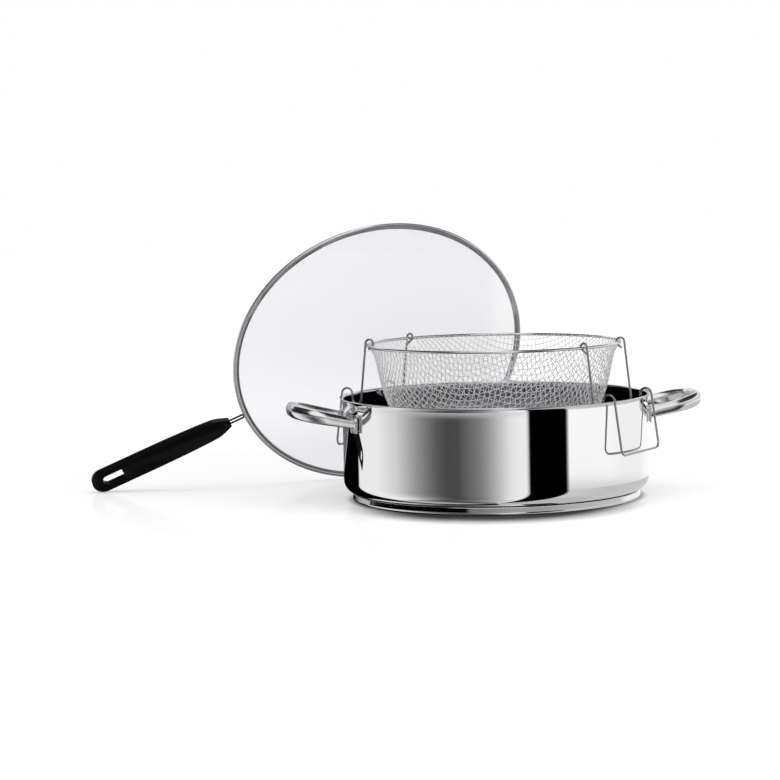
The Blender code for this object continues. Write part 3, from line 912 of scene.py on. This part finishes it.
gauze, nodes, links, shader = start_material("fine_gauze")
place = nodes.new("ShaderNodeTexCoord")
square_up = nodes.new("ShaderNodeMapping")
square_up.vector_type = "TEXTURE"
square_up.inputs["Rotation"].default_value = screen_place.to_euler()
square_up.inputs["Location"].default_value = screen_place.translation
links.new(place.outputs["Object"], square_up.inputs["Vector"])
either = nodes.new("ShaderNodeMath")
either.operation = "MAXIMUM"
for i, axis in enumerate(("X", "Y")):
    strand = nodes.new("ShaderNodeTexWave")
    strand.bands_direction = axis
    strand.inputs["Scale"].default_value = gauze_scale
    links.new(square_up.outputs["Vector"], strand.inputs["Vector"])
    links.new(strand.outputs["Fac"], either.inputs[i])
veil = nodes.new("ShaderNodeMapRange")
veil.inputs["To Min"].default_value = gauze_hole
veil.inputs["To Max"].default_value = gauze_strand
links.new(either.outputs["Value"], veil.inputs["Value"])
links.new(veil.outputs["Result"], shader.inputs["Alpha"])
tone = nodes.new("ShaderNodeMix")
tone.data_type = "RGBA"
tone.inputs["A"].default_value = hole_color
tone.inputs["B"].default_value = strand_color
links.new(either.outputs["Value"], tone.inputs["Factor"])
links.new(tone.outputs["Result"], shader.inputs["Base Color"])
shader.inputs["Metallic"].default_value = 0.0
shader.inputs["Roughness"].default_value = 0.45
dress(gauze, "screen_gauze")

# %% [markdown]
# ### The black plastic
# The grip is moulded from black plastic with fine pores, which soften its shine. One
# noise pattern makes the pores, and it drives the shine, the tone and the bump together,
# because on the real surface all three come from the same pores.

# %% The black plastic
pore_scale = 1400.0
pore_detail = 3.0
shine_low, shine_high = 0.16, 0.28
pore_color = (0.002, 0.002, 0.003, 1.0)
skin_color = (0.005, 0.005, 0.006, 1.0)
pore_strength = 0.10
pore_depth = 0.0002

plastic, nodes, links, shader = start_material("satin_plastic")
shader.inputs["Specular IOR Level"].default_value = 0.15
place = nodes.new("ShaderNodeTexCoord")
pores = nodes.new("ShaderNodeTexNoise")
pores.inputs["Scale"].default_value = pore_scale
pores.inputs["Detail"].default_value = pore_detail
links.new(place.outputs["Object"], pores.inputs["Vector"])
shine = nodes.new("ShaderNodeMapRange")
shine.inputs["To Min"].default_value = shine_low
shine.inputs["To Max"].default_value = shine_high
links.new(pores.outputs["Fac"], shine.inputs["Value"])
links.new(shine.outputs["Result"], shader.inputs["Roughness"])
tone = nodes.new("ShaderNodeMix")
tone.data_type = "RGBA"
tone.inputs["A"].default_value = pore_color
tone.inputs["B"].default_value = skin_color
links.new(pores.outputs["Fac"], tone.inputs["Factor"])
links.new(tone.outputs["Result"], shader.inputs["Base Color"])
grain = nodes.new("ShaderNodeBump")
grain.inputs["Strength"].default_value = pore_strength
grain.inputs["Distance"].default_value = pore_depth
links.new(pores.outputs["Fac"], grain.inputs["Height"])
links.new(grain.outputs["Normal"], shader.inputs["Normal"])
dress(plastic, "grip_moulding")

# %% [markdown]
# ## The studio
# A white floor and a white world make the background. The floor keeps the pot's shadow.
# It is left out of what the polished steel reflects, because the world below the horizon
# takes its place there. Hardly any light gets in under the edge of the base, so the
# floor is darkened there, by the distance from two points under the pot. Far away it
# glows a little more, so that it runs into the white of the world.

# %% Floor
floor_size = 12.0
floor_drop = -0.0002
floor_roughness = 0.12
floor_white = (0.86, 0.86, 0.86, 1.0)
black = (0.0, 0.0, 0.0, 1.0)
white = (1.0, 1.0, 1.0, 1.0)

bpy.context.scene.view_settings.view_transform = "Standard"
start_clean()
bpy.ops.mesh.primitive_plane_add(size=floor_size, location=(0, 0, floor_drop))
floor = bpy.context.object
floor.name = "floor"
floor.visible_glossy = False
floor_paint, nodes, links, shader = start_material("floor_paint")
shader.inputs["Roughness"].default_value = floor_roughness
floor.data.materials.append(floor_paint)
spot = nodes.new("ShaderNodeTexCoord")


# %% Shade and glow by distance
def seen_directly(nodes, links):
    """1 for rays that look straight, in a mirror or through glass at a background."""
    path = nodes.new("ShaderNodeLightPath")
    last = path.outputs["Is Camera Ray"]
    for label in ("Is Glossy Ray", "Is Transmission Ray"):
        either = nodes.new("ShaderNodeMath")
        either.operation = "MAXIMUM"
        links.new(last, either.inputs[0])
        links.new(path.outputs[label], either.inputs[1])
        last = either.outputs["Value"]
    return last


def farther(low, high, start, end, middle=(0.0, 0.0, 0.0)):
    """Goes from start to end as the distance from the middle goes from low to high."""
    away = nodes.new("ShaderNodeVectorMath")
    away.operation = "DISTANCE"
    away.inputs[1].default_value = middle
    links.new(spot.outputs["Object"], away.inputs[0])
    spread = nodes.new("ShaderNodeMapRange")
    spread.interpolation_type = "SMOOTHSTEP"
    for label, value in (("From Min", low), ("From Max", high), ("To Min", start), ("To Max", end)):
        spread.inputs[label].default_value = value
    links.new(away.outputs["Value"], spread.inputs["Value"])
    return spread.outputs["Result"]


def times(first, second):
    product = nodes.new("ShaderNodeMath")
    product.operation = "MULTIPLY"
    links.new(first, product.inputs[0])
    if isinstance(second, float):
        product.inputs[1].default_value = second
    else:
        links.new(second, product.inputs[1])
    return product.outputs["Value"]


# %% Paint the floor
shadow_middle = (0.0, -0.062, 0.0)
haze_middle = (0.0, 4.0, 0.0)
floor_gloss = 0.01

front_shadow = farther(0.088, 0.136, 0.04, 1.0, shadow_middle)
edge_shadow = farther(0.128, 0.137, 0.40, 1.0)
contact = times(front_shadow, edge_shadow)
near_glow = farther(0.3, 1.0, 0.24, 0.50)
wide_glow = farther(1.0, 4.0, 1.0, 1.14)
side_glow = farther(4.2, 7.0, 1.0, 1.25, haze_middle)
far_glow = times(times(near_glow, wide_glow), side_glow)
glow = times(times(seen_directly(nodes, links), far_glow), contact)
links.new(glow, shader.inputs["Emission Strength"])
links.new(times(contact, floor_gloss), shader.inputs["Specular IOR Level"])
shader.inputs["Emission Color"].default_value = white
shade = nodes.new("ShaderNodeMix")
shade.data_type = "RGBA"
shade.inputs["A"].default_value = black
shade.inputs["B"].default_value = floor_white
links.new(contact, shade.inputs["Factor"])
links.new(shade.outputs["Result"], shader.inputs["Base Color"])

# %% [markdown]
# ### What the steel reflects
# Polished metal has hardly a colour of its own: it shows what stands round it. A real
# studio puts softboxes and black flags there. They could be planes, but a plane near the
# pot also cuts into other views. Here they are painted on the world, by the direction
# that a reflected ray takes. The azimuth is 0 towards the front and grows to the right.

# %% Azimuth and height of a ray that leaves the scene
world = bpy.data.worlds.new("studio")
bpy.context.scene.world = world
world.use_nodes = True
nodes, links = world.node_tree.nodes, world.node_tree.links
background = nodes["Background"]
sight = nodes.new("ShaderNodeTexCoord")
parts = nodes.new("ShaderNodeSeparateXYZ")
links.new(sight.outputs["Generated"], parts.inputs["Vector"])
forward = nodes.new("ShaderNodeMath")
forward.operation = "MULTIPLY"
forward.inputs[1].default_value = -1.0
links.new(parts.outputs["Y"], forward.inputs[0])
azimuth_angle = nodes.new("ShaderNodeMath")
azimuth_angle.operation = "ARCTAN2"
links.new(parts.outputs["X"], azimuth_angle.inputs[0])
links.new(forward.outputs["Value"], azimuth_angle.inputs[1])
azimuth_share = nodes.new("ShaderNodeMath")
azimuth_share.operation = "MULTIPLY_ADD"
azimuth_share.inputs[1].default_value = 1 / (2 * pi)
azimuth_share.inputs[2].default_value = 0.5
links.new(azimuth_angle.outputs["Value"], azimuth_share.inputs[0])


# %% Bands of grey round the horizon
def panorama(stops):
    """A band of greys round the horizon: stops are (azimuth in degrees, grey)."""
    band = nodes.new("ShaderNodeValToRGB")
    stops = [((azimuth + 180) / 360, grey) for azimuth, grey in stops]
    knots = band.color_ramp.elements
    for place, grey in stops[2:]:
        knots.new(place)
    for knot, (place, grey) in zip(knots, stops):
        knot.position = place
        knot.color = (grey, grey, grey, 1.0)
    links.new(azimuth_share.outputs["Value"], band.inputs["Fac"])
    return band.outputs["Color"]


def rising(low, high):
    """Grows from 0 to 1 as the ray's height goes from low to high."""
    rise = nodes.new("ShaderNodeMapRange")
    rise.interpolation_type = "SMOOTHSTEP"
    rise.inputs["From Min"].default_value = low
    rise.inputs["From Max"].default_value = high
    links.new(parts.outputs["Z"], rise.inputs["Value"])
    return rise.outputs["Result"]


def blend_colors(share, low, high):
    mixer = nodes.new("ShaderNodeMix")
    mixer.data_type = "RGBA"
    links.new(share, mixer.inputs["Factor"])
    for socket, source in ((mixer.inputs["A"], low), (mixer.inputs["B"], high)):
        if isinstance(source, tuple):
            socket.default_value = source
        else:
            links.new(source, socket)
    return mixer.outputs["Result"]


# %% [markdown]
# A wide softbox on the left fades to dark and brightens again towards the front. Right of
# the front stands a black flag, 30 degrees wide, and right of that a plain bright box. The
# bands lie one above the other: each takes over from the one before it as the Z of the
# ray's direction passes from the first number beside it to the second.

# %% Softboxes and flags
left_box = [(-180, 0.0), (-126, 0.0), (-125, 0.87), (-101, 0.89), (-80, 0.66), (-70, 0.46),
            (-61, 0.30), (-52, 0.18), (-44, 0.10), (-36, 0.065), (-28, 0.07), (-22, 0.12),
            (-12, 0.20), (-5, 0.33), (3, 0.55), (11, 0.81), (19, 0.89), (23.5, 0.89),
            (24.5, 0.0), (54.5, 0.0)]
at_table = panorama(left_box + [(55.5, 1.0), (95, 1.0), (112, 0.92), (136, 0.92), (150, 1.0),
                                (176.5, 1.0), (177.5, 0.0)])
on_table = panorama(left_box + [(55.5, 0.62), (100, 0.56), (150, 0.60), (176.5, 0.70),
                                (177.5, 0.0)])
under_lip = panorama([(-180, 0.40), (-131, 0.50), (-110, 0.62), (-60, 0.58), (-20, 0.55),
                      (10, 0.64), (23.5, 0.72), (24.5, 0.0), (54.5, 0.0), (55.5, 1.0),
                      (176.5, 1.0), (177.5, 0.0)])
at_foot = panorama([(-180, 0.0), (-136, 0.0), (-135, 0.33), (-117, 0.48), (-104, 0.42),
                    (-96, 0.34), (-87, 0.26), (-77, 0.18), (-68, 0.10), (-58, 0.065),
                    (-47, 0.07), (-38, 0.12), (-22, 0.20), (-9, 0.33), (6, 0.55), (20, 0.80),
                    (23.5, 0.80), (24.5, 0.0), (54.5, 0.0), (55.5, 0.50), (176.5, 0.50),
                    (177.5, 0.0)])
low_flag = panorama([(-180, 0.42), (-127, 0.42), (-124, 0.0), (-24, 0.0), (-20, 0.20),
                     (-12, 0.21), (11, 0.36), (36, 0.37), (71, 0.52), (119, 0.64),
                     (160, 0.68)])
middle_flag = panorama([(-180, 1.0), (-127, 1.0), (-124, 0.02), (-40, 0.02), (-34, 1.0),
                        (179, 1.0)])
overhead_flag = panorama([(-180, 0.95), (-150, 0.95), (-138, 0.02), (-50, 0.02), (-38, 0.95),
                          (20, 0.95), (30, 0.02), (160, 0.02), (172, 0.95)])
around = at_foot
for low, high, band in ((-0.82, -0.74, on_table), (-0.125, -0.118, at_table),
                        (-0.086, -0.026, under_lip), (0.00, 0.012, low_flag),
                        (0.24, 0.28, middle_flag), (0.34, 0.50, overhead_flag)):
    around = blend_colors(rising(low, high), around, band)

# %% [markdown]
# Only reflections show these bands. The background stays plain white, and the world
# lights the object at half strength, which leaves room for the lamps.

# %% Colour and strength of the world
world_light = 0.50
path = nodes.new("ShaderNodeLightPath")
shown = blend_colors(path.outputs["Is Glossy Ray"], white, around)
links.new(shown, background.inputs["Color"])
level_out = nodes.new("ShaderNodeMapRange")
level_out.inputs["To Min"].default_value = world_light
level_out.inputs["To Max"].default_value = 1.0
links.new(seen_directly(nodes, links), level_out.inputs["Value"])
links.new(level_out.outputs["Result"], background.inputs["Strength"])

# %% [markdown]
# ### The lamps
# Three large square lamps, one above and one on each side, make the soft shadow on the
# floor. The steel doesn't reflect them, because the world already has its softboxes.

# %% Lights
aim_point = Vector((0, 0, 0.08))


def hang_light(name, place, size, power):
    start_clean()
    bpy.ops.object.light_add(type="AREA", location=place)
    lamp = bpy.context.object
    lamp.name = name
    lamp.data.shape = "SQUARE"
    lamp.data.size = size
    lamp.data.energy = power
    lamp.visible_glossy = False
    lamp.rotation_euler = (aim_point - Vector(place)).to_track_quat("-Z", "Y").to_euler()


hang_light("softbox_top", (0.2, -0.3, 1.8), 1.6, 16.0)
hang_light("softbox_left", (-1.6, -0.9, 1.1), 1.2, 9.0)
hang_light("softbox_right", (1.6, -0.6, 1.0), 1.2, 7.0)
